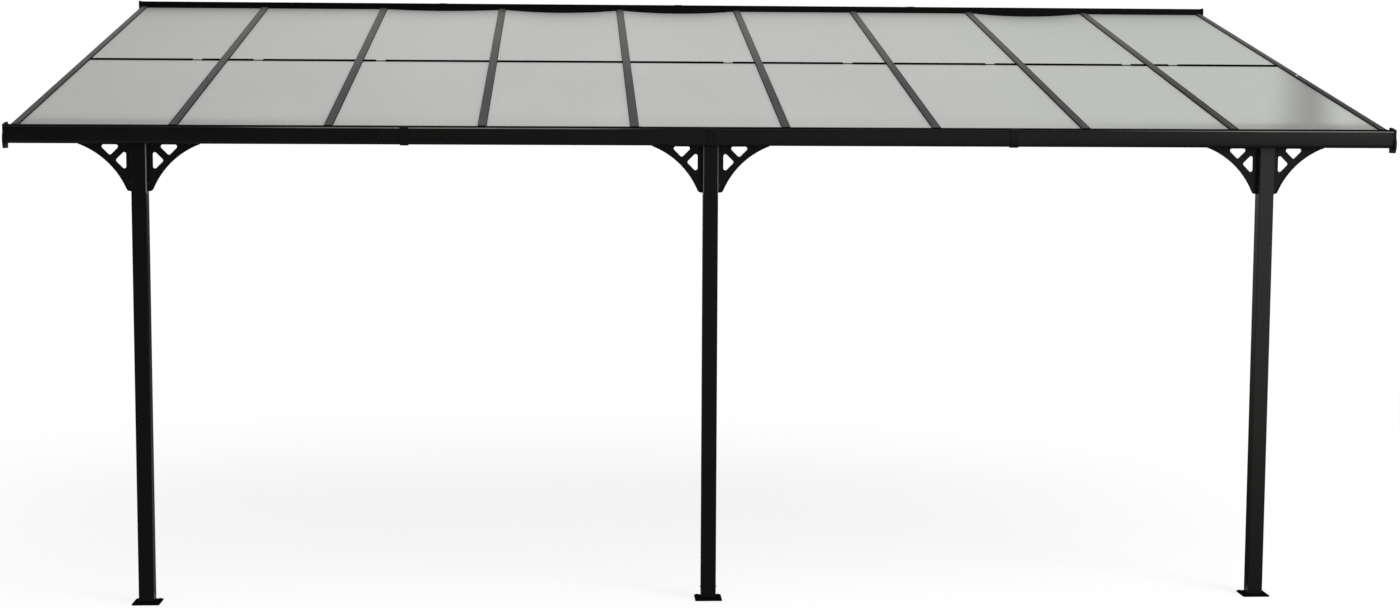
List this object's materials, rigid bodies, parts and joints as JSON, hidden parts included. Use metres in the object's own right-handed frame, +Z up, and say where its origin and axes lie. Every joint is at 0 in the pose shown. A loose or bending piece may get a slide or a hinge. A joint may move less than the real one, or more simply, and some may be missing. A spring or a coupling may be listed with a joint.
{
  "type": "wall-mounted patio cover with a lean-to roof",
  "caption": "Lean-to patio cover: dark aluminium frame on square posts with arched corner brackets, a front gutter beam, sloping rafters and pale translucent roof panels.",
  "frame": {"origin": "centre of the underside of the middle post's foot plate, on the ground", "axes": "+X along the gutter to the right as seen from the garden, +Y towards the house wall, +Z up"},
  "size_m": [6.116, 3.1593, 2.7572],
  "materials": {
    "frame_coat": "satin black powder coat on extruded aluminium",
    "cast_coat": "black powder coat on cast aluminium",
    "dark_plastic": "black moulded plastic",
    "rubber": "black sealing rubber",
    "panel": "translucent pale twin-wall polycarbonate"
  },
  "bodies": {
    "root": {"foot_left": "frame_coat", "foot_middle": "frame_coat", "foot_right": "frame_coat", "gutter_1": "frame_coat", "gutter_2": "frame_coat", "gutter_3": "frame_coat", "gutter_4": "frame_coat", "post_left": "frame_coat", "post_middle": "frame_coat", "post_right": "frame_coat", "rafter_01": "frame_coat", "rafter_02": "frame_coat", "rafter_03": "frame_coat", "rafter_04": "frame_coat", "rafter_05": "frame_coat", "rafter_06": "frame_coat", "rafter_07": "frame_coat", "rafter_08": "frame_coat", "rafter_09": "frame_coat", "rafter_10": "frame_coat", "rafter_covers": "frame_coat", "wall_profile_1": "frame_coat", "wall_profile_2": "frame_coat", "wall_profile_3": "frame_coat", "wall_profile_4": "frame_coat", "wall_profile_joints": "frame_coat", "gutter_cap_left": "dark_plastic", "gutter_cap_right": "dark_plastic", "gutter_joint_covers": "dark_plastic", "panel_joint_strips": "dark_plastic", "wall_cap_left": "dark_plastic", "wall_cap_right": "dark_plastic", "brackets_left": "cast_coat", "brackets_middle": "cast_coat", "brackets_right": "cast_coat", "gutter_joint_liners": "rubber", "roof_panels_1": "panel", "roof_panels_2": "panel", "roof_panels_3": "panel", "roof_panels_4": "panel", "roof_panels_5": "panel", "roof_panels_6": "panel", "roof_panels_7": "panel", "roof_panels_8": "panel", "roof_panels_9": "panel"}
  },
  "joints": []
}
